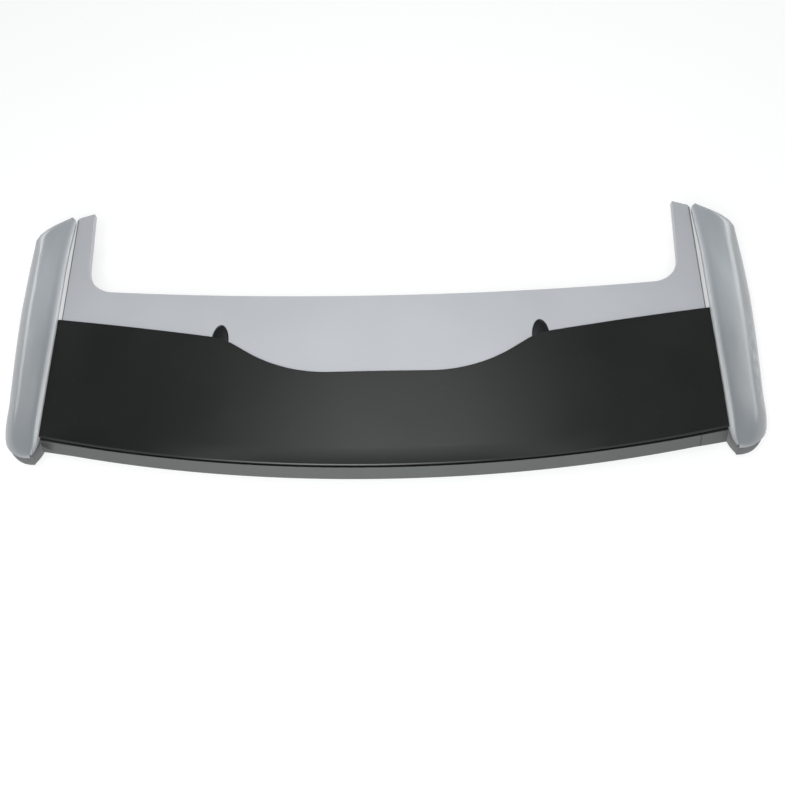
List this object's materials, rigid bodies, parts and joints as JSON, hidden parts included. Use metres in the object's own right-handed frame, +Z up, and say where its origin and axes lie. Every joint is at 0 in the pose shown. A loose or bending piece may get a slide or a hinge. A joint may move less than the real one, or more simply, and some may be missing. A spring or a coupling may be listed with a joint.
{
  "type": "roof spoiler",
  "caption": "Tailgate roof spoiler in satin grey: a crowned deck with forward horns that clasp the roof edge, a black centre panel, a trailing lip and hollow side fins.",
  "frame": {"origin": "under the middle of the part's width and depth, at the level of the side fins' lower edges", "axes": "+X towards the car's right, +Y forwards along the car, +Z up"},
  "size_m": [1.31, 0.52, 0.1333],
  "materials": {
    "deck_paint": "satin blue-grey primer",
    "fin_paint": "glossy silver-grey paint",
    "panel_black": "satin black",
    "lip_grey": "moulded mid grey",
    "moulded_grey": "moulded mid grey",
    "strip_white": "pale satin",
    "plug_black": "fine-grained black",
    "foam": "closed-cell foam",
    "zinc": "zinc plated"
  },
  "bodies": {
    "root": {"upper_shell": "deck_paint", "lower_shell": "lip_grey", "centre_panel": "panel_black", "left_fin_skin": "fin_paint", "right_fin_skin": "fin_paint", "left_fin_backing": "moulded_grey", "right_fin_backing": "moulded_grey", "left_fin_end": "moulded_grey", "right_fin_end": "moulded_grey", "left_filler_strip": "strip_white", "right_filler_strip": "strip_white", "left_oval_plug": "plug_black", "right_oval_plug": "plug_black", "front_seal": "foam", "left_horn_seal": "foam", "right_horn_seal": "foam", "mounting_studs": "zinc", "stud_seals": "foam", "locating_pins": "plug_black", "shell_screws": "zinc", "fin_screws": "zinc", "panel_retainers": "zinc"}
  },
  "joints": []
}
